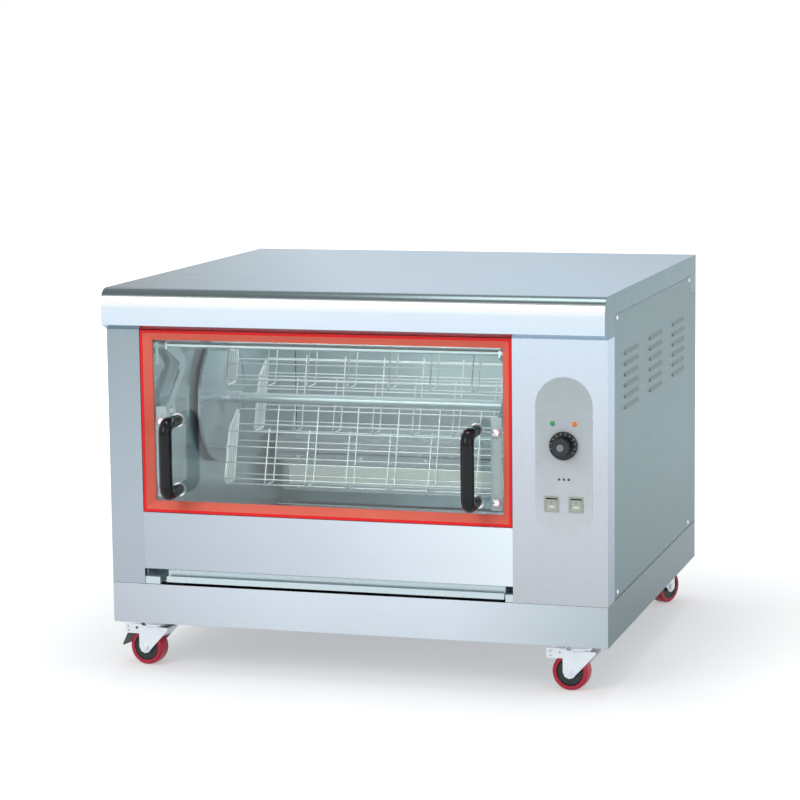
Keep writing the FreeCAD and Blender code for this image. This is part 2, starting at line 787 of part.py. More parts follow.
def rotor_shaft():
    node("rotor_shaft", rod(wall_left - 12, s.shaft_depth, s.shaft_level,
                            s.shaft_dia / 2, wall_right - wall_left + 40, ALONG_X))


def disc_hubs():
    hubs = []
    y, z = s.shaft_depth, s.shaft_level
    for x, turn in ((disc_left_x + s.disc_gauge, ALONG_X),
                    (disc_right_x - s.disc_gauge, FreeCAD.Rotation(Y_AXIS, -90))):
        bore, outside = s.shaft_dia / 2 + s.fit_gap, s.hub_dia / 2
        waist = outside - 1.2
        hubs.append(turned([
            (bore, 0), (outside, 0), (outside, 17), (waist, 19), (waist, 26),
            (outside, 28), (outside, s.hub_length), (bore, s.hub_length)], x, y, z, turn))
    node("disc_hubs", group(*hubs))


def wire_basket():
    """One welded basket about its pivot axis: X along, floor down, open on top."""
    wire = s.wire_dia.value / 2
    stout = wire + 1
    length = (basket_right - basket_left).value
    low = -s.basket_drop.value
    half = s.basket_floor.value / 2
    middle = -22.5
    tall = s.basket_height.value
    short = tall * 0.745
    back_low = FreeCAD.Vector(0, middle + half, low)
    back_high = FreeCAD.Vector(0, middle + half + 45, low + tall)
    front_low = FreeCAD.Vector(0, middle - half, low)
    front_high = FreeCAD.Vector(0, middle - half + 40, low + short)
    corners = [front_high, front_low, back_low, back_high]
    hoop = swept(bent_path(corners, 8.0), wire)
    end_frame = swept(bent_path(corners, 8.0, closed=True), stout)

    def bar(start, end, radius):
        return Part.makeCylinder(radius, (end - start).Length, start, end - start)

    def shifted(shape, x):
        moved = shape.copy()
        moved.translate(FreeCAD.Vector(x, 0, 0))
        return moved

    spans = 7
    pieces = [shifted(end_frame if index in (0, spans) else hoop, length * index / spans)
              for index in range(spans + 1)]

    weld = wire * 2 - 0.6
    run = FreeCAD.Vector(length, 0, 0)
    back_out = FreeCAD.Vector(0, tall, back_low.y - back_high.y).normalize()
    front_out = FreeCAD.Vector(0, -short, front_high.y - front_low.y).normalize()
    floor_out = FreeCAD.Vector(0, 0, -1)
    for near, far, outward, shares in (
            (back_low, back_high, back_out, (0.09, 0.31, 0.53, 0.75, 0.95)),
            (front_low, front_high, front_out, (0.11, 0.39, 0.67, 0.94)),
            (front_low, back_low, floor_out, (0.5,))):
        for share in shares:
            start = near + (far - near) * share + outward * weld
            pieces.append(bar(start, start + run, wire))

    eye = s.pin_dia.value / 2
    eye_length = 12.5
    rail_front = front_low + (front_high - front_low) * (-low / short)
    rail_back = back_low + (back_high - back_low) * (-low / tall)
    bores = []
    for x, inward in ((0, 1), (length, -1)):
        way = FreeCAD.Vector(inward, 0, 0)
        start = FreeCAD.Vector(x, 0, 0) - way * (eye_length + 0.5)
        for step in range(1, 5):
            share = step / 5
            pieces.append(shifted(bar(front_low + (back_low - front_low) * share,
                                      front_high + (back_high - front_high) * share,
                                      wire), x))
        pieces.append(shifted(bar(rail_front, rail_back, stout), x))
        pieces.append(Part.makeCylinder(eye + 3.5, eye_length, start, way))
        bores.append(Part.makeCylinder(eye + s.fit_gap.value, eye_length - 1.5,
                                       start - way, way))
    return pieces[0].fuse(pieces[1:]).cut(bores)


def baskets():
    cage = wire_basket()
    for index in range(3):
        across, up = pivot_offset(index)
        piece = feature(cage)
        place(piece, basket_left, s.shaft_depth + s.pivot_radius * across,
              s.shaft_level + s.pivot_radius * up)
        node("basket_%d" % (index + 1), piece)


def shaft_bearings():
    y, z = s.shaft_depth, s.shaft_level
    bore = s.shaft_dia / 2 + s.fit_gap
    left_block = cut(
        box(wall_left - gauge - 12, wall_left - gauge, y - 22, y + 22, z - 22, z + 22),
        rod(wall_left - gauge - 13, y, z, bore, 14, ALONG_X))
    right_flange = cut(
        box(wall_right + gauge, wall_right + gauge + 4, y - 22, y + 22, z - 22, z + 22),
        rod(wall_right, y, z, bore, 8, ALONG_X))
    node("shaft_bearings", group(left_block, right_flange))


def gear_motor():
    x = wall_right + gauge + 4
    y, z = s.shaft_depth, s.shaft_level
    gearbox = cut(box(x, x + 34, y - 40, y + 40, z - 45, z + 55),
                  rod(x - 1, y, z, s.shaft_dia / 2 + s.fit_gap, 26, ALONG_X))
    can = rod(x + 34, y, z + 15, 32, 80, ALONG_X)
    end_cap = rod(x + 114, y, z + 15, 26, 6, ALONG_X)
    node("gear_motor", fuse(gearbox, can, end_cap))


# ---------------------------------------------------------------- burner and gas

burner_left = wall_left + s.burner_side
burner_right = wall_right - s.burner_side
burner_front = cavity_back - s.burner_depth
burner_top = s.burner_bottom + s.burner_height
burner_middle = s.burner_bottom + 43
window_low = s.burner_bottom + 16
window_high = s.burner_bottom + 63


def burner():
    x0, x1 = burner_left, burner_right
    y = burner_front
    low, high = s.burner_bottom + 3, burner_top - 4
    shell = box(x0, x1, y, cavity_back, low, high)
    room = box(x0 + 2, x1 - 2, y - 1, cavity_back - 2, low + 2, high - 2)
    feed = rod(x1 - 3, cavity_back - 30, burner_middle, 5.3, 6, ALONG_X)
    node("burner_housing", cut(shell, room, feed))

    face = box(x0 - 4, x1 + 4, y - gauge, y, s.burner_bottom, burner_top)
    window = box(x0 + 9, x1 - 9, y - gauge - 1, y + 1, window_low, window_high)
    holes = [rod(x, y - gauge - 1, z, 2.2, gauge + 2, ALONG_Y) for x, z in screw_spots()]
    node("burner_frame", cut(face, window, *holes))

    plates = []
    inside = x1 - x0 - 6
    count = int(inside.value // s.plaque_width.value)
    pitch = inside / count
    for index in range(count):
        start = x0 + 3 + pitch * index
        plates.append(box(start, start + pitch - 0.6, y, y + 12,
                          window_low - 5, window_high + 5))
    node("ceramic_plates", group(*plates))

    visor = fuse(
        box(x0 - 20, x1 + 20, y - 4, y - 4 + gauge, burner_top + 2, burner_top + 36),
        box(x0 - 20, x1 + 20, y - 4, cavity_back, burner_top + 36 - gauge, burner_top + 36))
    node("burner_hood", visor)

    screws = []
    for x, z in screw_spots():
        head = common(ball(x, y - gauge + 2.5, z, 5.5),
                      box(x - 6, x + 6, y - gauge - 6, y - gauge, z - 6, z + 6))
        screws.append(fuse(head, rod(x, y - gauge - 1, z, 2, gauge + 1, ALONG_Y)))
    node("burner_screws", group(*screws))

    igniter_x = x0
    block = box(igniter_x - 18, igniter_x - 4, y - 20, y + 30, burner_top - 14, burner_top + 0.5)
    spark = rod(igniter_x + 30, y - 12, burner_top + 38, 1.6, 46)
    holder = rod(igniter_x + 30, y - 12, burner_top + 36.3, 4, 14)
    strap = box(igniter_x - 18, igniter_x - 4, y + 30, cavity_back, burner_top - 14,
                burner_top - 12)
    node("burner_electrodes", group(fuse(block, strap),
                                    fuse(spark, holder,
                                         box(igniter_x + 26, igniter_x + 34, y - 12, y + 20,
                                             burner_top + 36, burner_top + 38))))


def screw_spots():
    count = 5
    run = burner_right - burner_left - 60
    return [(burner_left + 30 + run * index / (count - 1), z)
            for index in range(count)
            for z in (s.burner_bottom + 7, burner_top - 10)]


valve_depth = 34


def gas_parts():
    y0 = gauge
    x, z = panel_middle, s.knob_level
    valve = cut(
        fuse(box(x - 20, x + 20, y0 + 6, y0 + 6 + valve_depth, z - 22, z + 22),
             rod(x, y0, z, 10, 6, ALONG_Y),
             rod(x, y0 + 6 + valve_depth, z, 14, 16, ALONG_Y)),
        rod(x, y0 - 1, z, 4.08, 16, ALONG_Y),
        rod(x - 12, y0 + 24, z - 23, 6, 8), rod(x + 12, y0 + 24, z - 23, 5, 8))
    node("gas_thermostat", valve)

    deep = s.body_depth
    pipe_y = y0 + 24
    supply = tube([(gas_x, deep - 24, gas_level), (gas_x, pipe_y + 40, gas_level),
                   (x - 12, pipe_y, gas_level + 60), (x - 12, pipe_y, z - 15)], 5.8, 25)
    feed_y = cavity_back - 30
    feed = tube([(burner_right + 1, feed_y, burner_middle),
                 (wall_right + 60, feed_y, burner_middle),
                 (wall_right + 60, pipe_y + 60, burner_middle),
                 (x + 12, pipe_y, burner_middle + 20), (x + 12, pipe_y, z - 15)], 4.8, 25)
    node("gas_pipes", group(feature(supply), feature(feed)))

    inlet = cut(
        fuse(rod(gas_x, deep - 30, gas_level, hose_bore - 0.3, 40, ALONG_Y),
             rod(gas_x, deep, gas_level, 14, 9, ALONG_Y),
             rod(gas_x, deep + 9, gas_level, nipple_radius, s.inlet_reach - 9, ALONG_Y),
             rod(gas_x, deep - gauge - 5, gas_level, 12, 5, ALONG_Y)),
        rod(gas_x, deep - 31, gas_level, 5.85, 7, ALONG_Y),
        rod(gas_x, deep - 26, gas_level, 4.5, 60, ALONG_Y))
    node("gas_inlet", inlet)
    gland = cut(
        fuse(rod(gland_x, deep - gauge - 8, gas_level, gland_bore - 0.3, 20, ALONG_Y),
             rod(gland_x, deep, gas_level, 12, 6, ALONG_Y),
             taper(gland_x, deep + 6, gas_level, 10, 6.5, 10, ALONG_Y),
             rod(gland_x, deep - gauge - 5, gas_level, 11, 5, ALONG_Y)),
        rod(gland_x, deep - 20, gas_level, 4, 40, ALONG_Y))
    node("cable_gland", gland)


# ---------------------------------------------------------------- controls

label_gauge = 0.8


def label_plate():
    x, z = panel_middle, s.label_level
    radius = s.label_width / 2
    straight = s.label_length - s.label_width
    pill = fuse(
        box(x - radius, x + radius, -label_gauge, 0, z - straight / 2, z + straight / 2),
        rod(x, -label_gauge, z + straight / 2, radius, label_gauge, ALONG_Y),
        rod(x, -label_gauge, z - straight / 2, radius, label_gauge, ALONG_Y))
    node("label_plate", cut(pill, *control_cutouts(-3, 3)))


def domed_rod(x, y, z, radius, dome_radius, length):
    """Rod along Y whose front end, from y forward, is a dome."""
    inset = math.sqrt(dome_radius ** 2 - radius ** 2)
    dome = common(ball(x, y + inset, z, dome_radius),
                  rod(x, y - dome_radius, z, radius, dome_radius + inset, ALONG_Y))
    return fuse(dome, rod(x, y + inset, z, radius, length - inset, ALONG_Y))


def lamp_parts():
    lamps = []
    for _, offset in LAMPS:
        x = panel_middle + offset
        lamps.append(domed_rod(x, -2.4, lamp_level, 5.2, 5.8, 25))
        lamps.append(cut(rod(x, -label_gauge - 1.6, lamp_level, 7, 1.6, ALONG_Y),
                         rod(x, -4, lamp_level, lamp_bore, 5, ALONG_Y)))
    node("pilot_lamps", group(*lamps))
    leds = []
    for offset in LED_OFFSETS:
        x = panel_middle + offset
        leds.append(domed_rod(x, -label_gauge, led_level, 2.5, 2.9, 9))
    node("status_leds", group(*leds))


def thermostat_knob():
    radius = s.knob_dia / 2
    high = s.knob_height
    grip = 19.0
    profile = [(0, -14), (4, -14), (4, 0), (radius, 0), (radius, 4), (radius - 3, 6),
               (grip, 6), (grip - 1.5, high - 2), (grip - 3.5, high),
               (7.5, high), (7.5, high + 1), (0, high + 1)]
    body = turned(profile, panel_middle, -2.5, s.knob_level, TO_FRONT)
    node("thermostat_knob", body)


rocker_depth = 3.0
rocker_half = 11.1
rocker_width = 21.6
rocker_pin = 1.5
rocker_tilt = 8


def switches():
    cases = []
    for offset in SWITCH_OFFSETS.values():
        x, z = panel_middle + offset, switch_level
        wide, high = switch_hole[0] / 2 - 0.2, switch_hole[1] / 2 - 0.2
        cases.append(cut(
            fuse(box(x - 14.5, x + 14.5, -label_gauge - 1.8, -label_gauge, z - 15.5, z + 15.5),
                 box(x - wide, x + wide, -label_gauge, 18, z - high, z + high)),
            box(x - 11.2, x + 11.2, -5, 11, z - 12.2, z + 12.2),
            rod(x - 12.2, rocker_depth, z, rocker_pin + s.fit_gap, 24.4, ALONG_X)))
    node("switch_bodies", group(*cases))
    for side, offset in SWITCH_OFFSETS.items():
        x, z = panel_middle + offset, switch_level
        half = rocker_half
        key = padded([(-7.5, -half), (-5.2, -half * 0.45), (-4.6, 0), (-5.2, half * 0.45),
                      (-7.5, half), (4, half * 0.7), (4, -half * 0.7)],
                     rocker_width, -rocker_width / 2, 0, 0, SIDE_PROFILE)
        key.Placement = FreeCAD.Placement()
        for axis in "xyz":
            key.setExpression("Placement.Base." + axis, None)
        tilt = FreeCAD.Rotation(X_AXIS, rocker_tilt)
        start = x - rocker_width / 2
        place(key, start, rocker_depth, z, tilt * SIDE_PROFILE)
        pin = rod(x - 12, rocker_depth, z, rocker_pin, 24, ALONG_X)
        node("rocker_" + side, fuse(key, pin))


def panel_screws():
    heads = []
    wide = s.body_width
    spots = [(s.return_depth + 22, s.body_height - s.roof_flange - 7),
             (s.body_depth - s.rear_strip - 24, s.body_height - s.roof_flange - 7),
             (s.return_depth + 26, post_bottom + 14),
             (s.body_depth - s.rear_strip - 30, post_bottom + 14)]
    for y, z in spots:
        for x, x0, x1 in ((wide - 3.0, wide, wide + 3), (3.0, -3, 0)):
            heads.append(common(ball(x, y, z, 5.6), box(x0, x1, y - 6, y + 6, z - 6, z + 6)))
    node("panel_screws", group(*heads))


# ---------------------------------------------------------------- casters

# right side, rear, heading of the trailing wheel in degrees from +X; the front forks
# have the side tabs that take a brake
CORNERS = {
    "front_left": (False, False, 171), "front_right": (True, False, 175),
    "rear_left": (False, True, 100), "rear_right": (True, True, 65),
}
plate_half_x, plate_half_y = 42, 32
plate_gauge = 4.0
kingpin = 6.0
crown_low = -20.0
fork_gauge = 3.0
axle_radius = 4.0
axle_level = s.wheel_dia / 2 - s.caster_height
fork_inside = s.wheel_width / 2 + 1.5
fork_outside = fork_inside + fork_gauge
brake_pivot = (35.0, -22.0)
brake_pin = 2.5


def corner_spot(right, rear):
    x = s.caster_edge + plate_half_x
    y = s.caster_edge + plate_half_y
    return (s.body_width - x if right else x), (s.body_depth - y if rear else y)


def caster_plates():
    plates = []
    for right, rear, _ in CORNERS.values():
        x, y = corner_spot(right, rear)
        plate = cut(box(x - plate_half_x, x + plate_half_x, y - plate_half_y,
                        y + plate_half_y, -plate_gauge, 0),
                    *[rod(x + a, y + b, -plate_gauge - 1, 4, 6)
                      for a in (-33, 33) for b in (-23, 23)])
        race = turned([(0, 0), (26, 0), (24, 7), (0, 7)], x, y, -plate_gauge - 7)
        stud = rod(x, y, crown_low - 4.5, kingpin, -crown_low - plate_gauge)
        nut = rod(x, y, crown_low - 4.5, 9, 4)
        plates.append(fuse(plate, race, stud, nut))
    node("caster_plates", group(*plates))


def caster(name, right, rear, heading):
    """Swivel fork and wheel, drawn trailing along +X and then turned about the kingpin."""
    x, y = corner_spot(right, rear)
    trail = s.caster_trail
    turn = FreeCAD.Rotation(Z_AXIS, heading)
    way = turn.multVec(X_AXIS)
    across = turn.multVec(Y_AXIS)

    def seat(along, sideways, z, obj, rotation=UPRIGHT):
        return place(obj, x + dim(along) * way.x + dim(sideways) * across.x,
                     y + dim(along) * way.y + dim(sideways) * across.y, z, turn * rotation)

    def seated_box(along, sideways, z, size):
        block = doc.addObject("Part::Box", "Block")
        for prop, amount in zip(("Length", "Width", "Height"), size):
            bind(block, prop, amount)
        return seat(along, sideways, z, block)

    def cross_rod(along, z, radius, half):
        bar = doc.addObject("Part::Cylinder", "CrossRod")
        bind(bar, "Radius", radius)
        bind(bar, "Height", dim(half) * 2)
        return seat(along, half, z, bar, TO_FRONT)

    crown = turned([(kingpin + 0.3, 0), (22, 0), (24, 4), (24, 8), (kingpin + 0.3, 8)],
                   x, y, crown_low)
    bridge = seated_box(-20, -fork_outside, crown_low, (42, fork_outside * 2, fork_gauge))
    outline = [(-38, -17), (-38, -22), (trail - 12, -68), (trail - 9, -72), (trail, -75),
               (trail + 9, -71), (trail + 13, -62)]
    if rear:
        outline += [(trail + 11, -24), (trail + 4, -17)]
    else:
        outline += [(trail + 13, -34), (trail + 45, -35), (trail + 47, -32),
                    (trail + 47, -14), (24, -14), (20, -17)]
    cheeks = []
    for inner in (fork_inside, -fork_outside):
        cheek = padded([(along, up) for along, up in outline], fork_gauge, 0, 0, 0)
        cheeks.append(seat(0, inner + fork_gauge, 0, cheek, TO_FRONT))
    holes = [rod(x, y, crown_low - 8, kingpin + 0.3, 24),
             cross_rod(brake_pivot[0], brake_pivot[1], brake_pin + s.fit_gap, 30),
             cross_rod(trail + 38, -20, 2.6, 30), cross_rod(trail + 38, -29, 2.2, 30)]
    shell = cut(fuse(crown, bridge, *cheeks), *holes)
    axle = cross_rod(trail, axle_level, axle_radius, fork_outside + 4)
    heads = [seat(trail, sideways, axle_level,
                  axle_head(), TO_FRONT)
             for sideways in (fork_outside + 4, -fork_outside)]
    fork = fuse(shell, axle, *heads)
    if name == "front_left":
        guard = padded([(-38.5, -18), (-36, -17), (-22, -34), (-24, -36)],
                       fork_inside * 2, 0, 0, 0)
        fork = group(fork, seat(0, fork_inside, 0, guard, TO_FRONT))
        lever = padded([(31, -19), (38, -18), (58, -31), (73, -61), (70.5, -63),
                        (55, -37), (43, -30), (37, -26.5), (31, -25)],
                       fork_inside * 2 - 3, 0, 0, 0)
        seat(0, fork_inside - 1.5, 0, lever, TO_FRONT)
        pin = cross_rod(brake_pivot[0], brake_pivot[1], brake_pin, fork_outside + 1.5)
        node("brake_pedal", fuse(lever, pin))
    node("fork_" + name, fork)

    half, radius = s.wheel_width / 2, s.wheel_dia / 2
    bore = axle_radius + s.fit_gap
    rim = radius - 9
    wheel = turned([
        (bore, -half - 1), (10, -half - 1), (10, -half + 4), (rim - 3, -half + 4),
        (rim, -half + 0.5), (radius - 4, -half), (radius - 1, -half + 2.5),
        (radius, -half + 7), (radius, half - 7), (radius - 1, half - 2.5),
        (radius - 4, half), (rim, half - 0.5), (rim - 3, half - 4), (10, half - 4),
        (10, half + 1), (bore, half + 1)], 0, 0, 0)
    seat(trail, 0, axle_level, wheel, TO_FRONT)
    node("wheel_" + name, wheel)


def axle_head():
    head = doc.addObject("Part::Cylinder", "AxleHead")
    bind(head, "Radius", 7)
    bind(head, "Height", 4)
    return head


base_plinth()
left_post()
control_panel()
top_cover()
side_panel("side_panel_right", s.body_width, 1)
side_panel("side_panel_left", dim(0), -1)
rear_posts()
rear_panel()
lower_front_plate()
liner_side("liner_left", wall_left, -1, opening_left)
liner_side("liner_right", wall_right, 1, opening_right)
liner_back()
tray_runners()
drip_tray()
door_frame()
door_glass()
door_handles()
door_fasteners()
door_brackets()
hinge_arms()
hinge_tube()
hinge_bosses()
end_disc("disc_left", disc_left_x, 1)
end_disc("disc_right", disc_right_x, -1)
rotor_shaft()
disc_hubs()
baskets()
shaft_bearings()
gear_motor()
burner()
gas_parts()
label_plate()
lamp_parts()
thermostat_knob()
switches()
panel_screws()
caster_plates()
for name, (right, rear, heading) in CORNERS.items():
    caster(name, right, rear, heading)
doc.recompute()

# ---------------------------------------------------------------- checks and files

for item in doc.Objects:
    if "Invalid" in item.State or "Error" in item.State:
        raise RuntimeError("%s failed: %s" % (item.Label, item.State))
os.makedirs("parts", exist_ok=True)
for piece in nodes:
    if piece.Shape.isNull() or not piece.Shape.isValid():
        raise RuntimeError("bad shape: " + piece.Label)
for piece in nodes:
    piece.Shape.exportStep("parts/%s.step" % piece.Label)
    print(piece.Label, len(piece.Shape.Solids), round(piece.Shape.Volume))
print(len(nodes), "nodes")
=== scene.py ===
import bpy
import math
from mathutils import Vector, Matrix


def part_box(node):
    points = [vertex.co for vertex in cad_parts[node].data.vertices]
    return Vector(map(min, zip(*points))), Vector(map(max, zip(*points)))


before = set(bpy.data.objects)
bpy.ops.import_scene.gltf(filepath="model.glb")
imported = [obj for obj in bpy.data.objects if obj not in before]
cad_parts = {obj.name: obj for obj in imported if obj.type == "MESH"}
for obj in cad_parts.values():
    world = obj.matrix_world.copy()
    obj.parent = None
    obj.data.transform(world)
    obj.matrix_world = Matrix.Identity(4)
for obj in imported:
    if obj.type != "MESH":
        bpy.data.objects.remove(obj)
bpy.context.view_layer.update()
scene = bpy.context.scene
print("loaded", len(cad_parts), "cad nodes")


# camera: a long lens a little above the roof, from the right
view = {"yaw": 16.66, "pitch": 8.084, "roll": -0.653, "focal": 2651.0,
        "place": (1.5870, -5.4107, 1.3158)}
yaw, pitch, roll = (math.radians(view[k]) for k in ("yaw", "pitch", "roll"))
ahead = Vector((-math.sin(yaw) * math.cos(pitch), math.cos(yaw) * math.cos(pitch), -math.sin(pitch)))
side = Vector((math.cos(yaw), math.sin(yaw), 0))
above = side.cross(ahead)
side, above = (side * math.cos(roll) + above * math.sin(roll),
               above * math.cos(roll) - side * math.sin(roll))
lensData = bpy.data.cameras.new("camera")
lensData.sensor_width = 36
lensData.lens = view["focal"] * 36 / 800
lensData.clip_end = 50
camera = bpy.data.objects.new("camera", lensData)
scene.collection.objects.link(camera)
camera.matrix_world = Matrix.Translation(view["place"]) @ Matrix(
    ((side.x, above.x, -ahead.x), (side.y, above.y, -ahead.y), (side.z, above.z, -ahead.z))).to_4x4()
scene.camera = camera
print("camera set")


# shader sockets that take part in ordinary arithmetic
class Sock:
    def __init__(self, tree, out):
        self.tree, self.out = tree, out

    def math(self, operation, other=None, swap=False, clamp=False):
        made = self.tree.nodes.new("ShaderNodeMath")
        made.operation = operation
        made.use_clamp = clamp
        first, second = (other, self) if swap else (self, other)
        for index, item in enumerate((first, second)):
            if item is None:
                continue
            if isinstance(item, Sock):
                self.tree.links.new(item.out, made.inputs[index])
            else:
                made.inputs[index].default_value = item
        return Sock(self.tree, made.outputs[0])

    def __add__(self, other): return self.math("ADD", other)
    def __radd__(self, other): return self.math("ADD", other, True)
    def __sub__(self, other): return self.math("SUBTRACT", other)
    def __rsub__(self, other): return self.math("SUBTRACT", other, True)
    def __mul__(self, other): return self.math("MULTIPLY", other)
    def __rmul__(self, other): return self.math("MULTIPLY", other, True)
    def __truediv__(self, other): return self.math("DIVIDE", other)
    def __pow__(self, other): return self.math("POWER", other)
    def above(self, level): return self.math("GREATER_THAN", level)
    def below(self, level): return self.math("LESS_THAN", level)
    def clamped(self): return self.math("ADD", 0.0, clamp=True)


# one material being drawn
class Finish:
    def __init__(self, name):
        self.material = bpy.data.materials.new(name)
        self.material.use_nodes = True
        self.tree = self.material.node_tree
        self.shader = self.tree.nodes["Principled BSDF"]
        self.place = self.node("TexCoord").outs["Object"]

    def node(self, kind, settings=None, **values):
        made = self.tree.nodes.new("ShaderNode" + kind)
        for key, value in (settings or {}).items():
            if key == "stops":
                ramp = made.color_ramp
                while len(ramp.elements) < len(value):
                    ramp.elements.new(1.0)
                for element, (spot, shade) in zip(ramp.elements, value):
                    element.position = spot
                    element.color = (*shade, 1)
            elif key == "second":
                made.inputs[1].default_value = value
            else:
                setattr(made, key, value)
        for key, value in values.items():
            self.feed(made.inputs[key.replace("_", " ")], value)
        return Outs(self.tree, made)

    def feed(self, socket, value):
        if isinstance(value, Sock):
            self.tree.links.new(value.out, socket)
        else:
            socket.default_value = value

    def scaled(self, x, y, z):
        return self.node("Mapping", Vector=self.place, Scale=(x, y, z)).outs["Vector"]

    def noise(self, where, scale, detail=2.0, rough=0.5):
        return self.node("TexNoise", Vector=where, Scale=scale, Detail=detail, Roughness=rough).outs["Fac"]

    def mix(self, amount, first, second):
        made = self.tree.nodes.new("ShaderNodeMix")
        made.data_type = "RGBA"
        for index, value in ((0, amount), (6, first), (7, second)):
            if isinstance(value, tuple) and len(value) == 3:
                value = (*value, 1)
            self.feed(made.inputs[index], value)
        return Sock(self.tree, made.outputs[2])

    def brighter(self, colour, value):
        start = colour[:3] if isinstance(colour, tuple) else colour
        return self.node("VectorMath", {"operation": "SCALE"}, Vector=start, Scale=value).outs["Vector"]

    # how squarely the surface faces along one axis, either way
    def facing(self, axis):
        normal = self.node("TexCoord").outs["Normal"]
        return self.node("SeparateXYZ", Vector=normal).outs[axis].math("ABSOLUTE")

    def axes(self):
        split = self.node("SeparateXYZ", Vector=self.place).outs
        return split["X"], split["Y"], split["Z"]

    def bump(self, height, depth, under=None):
        values = {"Height": height, "Strength": 1.0, "Distance": depth}
        if under is not None:
            values["Normal"] = under
        return self.node("Bump", **values).outs["Normal"]

    def set(self, **values):
        for key, value in values.items():
            if isinstance(value, tuple) and len(value) == 3:
                value = (*value, 1)
            self.feed(self.shader.inputs[key.replace("_", " ")], value)
        return self.material


class Outs:
    def __init__(self, tree, made):
        self.outs = {out.name: Sock(tree, out) for out in made.outputs}


# rolled stainless sheet: fine grain along one axis, soft cloudy gloss, faint handling marks
edgeTint = (0.70, 0.77, 0.82)
steelLevel = 0.87
grainStretch = {"x": (3, 420, 420), "y": (420, 3, 420), "z": (420, 420, 3)}


def sheetSteel(name, tint, grain="x", gloss=0.3, metal=1.0, depth=0.0000015):
    finish = Finish(name)
    stretch = grainStretch[grain]
    streak = finish.noise(finish.scaled(*stretch), 1.0, 3.0, 0.6)
    band = finish.noise(finish.scaled(*(v / 14 for v in stretch)), 1.0, 2.0)
    cloudy = finish.noise(finish.place, 2.4, 2.0)
    smear = finish.noise(finish.place, 26.0, 4.0, 0.65)
    value = steelLevel + (streak - 0.5) * 0.045 + (band - 0.5) * 0.03 + (cloudy - 0.5) * 0.06
    colour = tint(finish) if callable(tint) else (*tint, 1)
    colour = finish.brighter(colour, value)
    rough = gloss + (streak - 0.5) * 0.12 + (smear - 0.5) * 0.06 + (cloudy - 0.5) * 0.05
    soft = finish.node("Bevel", {"samples": 4}, Radius=0.0009).outs["Normal"]
    return finish.set(Base_Color=colour, Metallic=metal, Roughness=rough, Specular_Tint=edgeTint,
                      Normal=finish.bump(streak, depth, soft))


def plastic(name, tint, gloss=0.3, grain=0.00001, coat=0.0, speckle=0.08, shine=0.5):
    finish = Finish(name)
    fine = finish.noise(finish.place, 900.0, 2.0)
    broad = finish.noise(finish.place, 40.0, 3.0)
    colour = tint(finish) if callable(tint) else (*tint, 1)
    colour = finish.brighter(colour, 1.0 + (broad - 0.5) * speckle * 2 + (fine - 0.5) * speckle)
    rough = gloss + (broad - 0.5) * 0.12
    return finish.set(Base_Color=colour, Roughness=rough, Coat_Weight=coat, Specular_IOR_Level=shine,
                      Normal=finish.bump(fine, grain))


def dress(material, *names):
    for name in names:
        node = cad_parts[name]
        node.data.materials.clear()
        node.data.materials.append(material)
        for face in node.data.polygons:
            face.material_index = 0


# a tint that changes slowly along one axis of a node, from its low side to its high side, used for painted
# reflections and painted shade; faces turned along x can take a separate painted shade colour
def along(node, axis, *stops, cheeks=None):
    low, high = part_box(node)
    index = "xyz".index(axis)

    def tint(finish):
        where = (finish.axes()[index] - low[index]) / (high[index] - low[index])
        colour = finish.node("ValToRGB", {"stops": stops}, Fac=where).outs["Color"]
        if cheeks is None:
            return colour
        return finish.mix(finish.facing("X").above(0.7), colour, cheeks)
    return tint


# the side, cheek and cover-side tones are the front's stainless darkened as painted shade for faces turned
# sideways; the middle and pale tones are plain
steel = {"side": (0.247, 0.315, 0.310), "cheek": (0.245, 0.285, 0.28), "coverSideShade": (0.132, 0.205, 0.20),
         "middle": (0.55, 0.63, 0.71), "pale": (0.74, 0.80, 0.83)}

# painted reflections: the post, panel, sill and plinth sheets get lighter and darker bands along one axis, and
# the plinth's end cheeks get painted shade
postSteel = sheetSteel("post_sheet", along("left_post", "z", (0.0, (0.40, 0.45, 0.51)),
                                           (0.5, (0.36, 0.42, 0.47)), (1.0, (0.31, 0.38, 0.415))), "z")
panelSteel = sheetSteel("panel_sheet", along("control_panel", "z", (0.0, (0.47, 0.505, 0.545)),
                                             (0.5, (0.50, 0.535, 0.59)), (1.0, (0.60, 0.70, 0.80))), "z", 0.28)
sillSteel = sheetSteel("sill_sheet", along("lower_front_plate", "x", (0.0, (0.42, 0.475, 0.54)),
                                           (0.5, (0.55, 0.61, 0.69)), (1.0, (0.71, 0.79, 0.84))), "x")
plinthSteel = sheetSteel("plinth_sheet", along("base_plinth", "x", (0.0, (0.50, 0.54, 0.60)),
                                               (0.35, (0.63, 0.70, 0.77)), (0.7, (0.64, 0.71, 0.78)),
                                               (1.0, (0.46, 0.53, 0.565)), cheeks=steel["cheek"]), "x")


